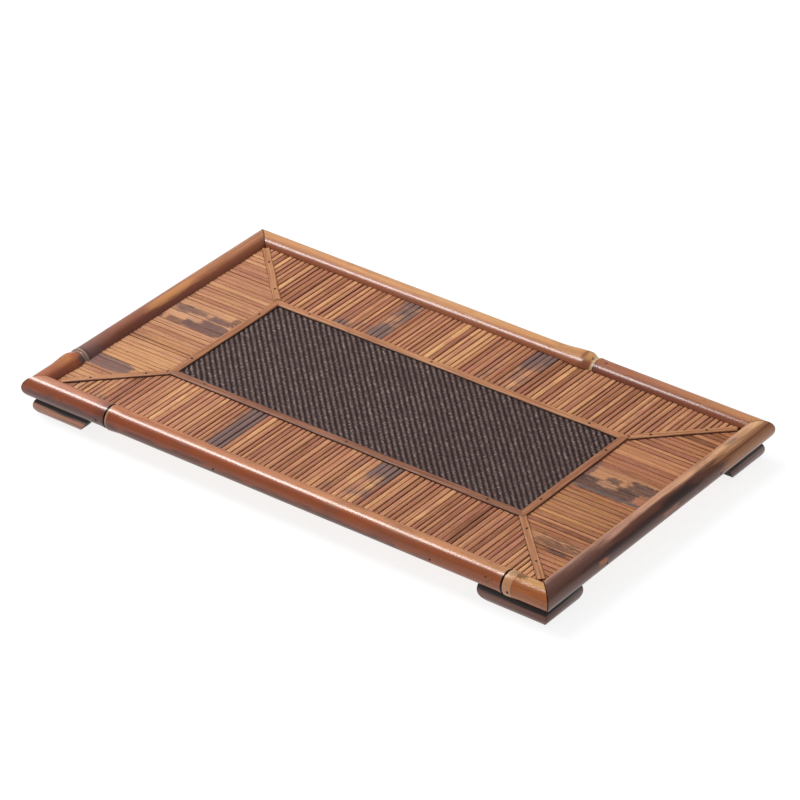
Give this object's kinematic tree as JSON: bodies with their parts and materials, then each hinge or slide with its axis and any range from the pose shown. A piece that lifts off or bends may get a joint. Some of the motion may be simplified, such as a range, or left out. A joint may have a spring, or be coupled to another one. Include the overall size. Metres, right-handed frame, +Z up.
{
  "type": "tea tray",
  "caption": "Low rectangular tea tray with round bamboo rails mitred at the corners, split-bamboo slats round a woven mat, and a short mitred foot under each corner.",
  "frame": {"origin": "centre of the tray in plan, at the height of the surface that it stands on", "axes": "+X to the right along the long side, +Y to the back, +Z up; the front is the long rail with a culm node near each end"},
  "size_m": [0.4811, 0.2878, 0.0336],
  "materials": {
    "rail_front": "varnished red-brown bamboo, glossy",
    "rail_back": "varnished golden bamboo, glossy",
    "rail_left": "varnished smoke-stained bamboo, glossy",
    "rail_right": "varnished streaked bamboo, glossy",
    "board": "plain bamboo board, matt",
    "slats_long": "split bamboo, satin",
    "slats_end": "split bamboo with smoky stains, satin",
    "mat": "dark twill-woven fibre, matt",
    "strip": "flat bamboo strip, satin",
    "foot": "dark stained bamboo, glossy",
    "nail": "dulled brown steel"
  },
  "bodies": {
    "root": {"base_board": "board", "front_rail": "rail_front", "back_rail": "rail_back", "left_rail": "rail_left", "right_rail": "rail_right", "front_slats": "slats_long", "back_slats": "slats_long", "left_slats": "slats_end", "right_slats": "slats_end", "woven_mat": "mat", "front_border_strip": "strip", "back_border_strip": "strip", "left_border_strip": "strip", "right_border_strip": "strip", "front_left_mitre_strip": "strip", "front_right_mitre_strip": "strip", "back_left_mitre_strip": "strip", "back_right_mitre_strip": "strip", "front_left_foot_long_leg": "foot", "front_left_foot_short_leg": "foot", "front_right_foot_long_leg": "foot", "front_right_foot_short_leg": "foot", "back_left_foot_long_leg": "foot", "back_left_foot_short_leg": "foot", "back_right_foot_long_leg": "foot", "back_right_foot_short_leg": "foot", "border_nails": "nail", "mitre_nails": "nail", "rail_nails": "nail", "foot_nails": "nail"}
  },
  "joints": []
}
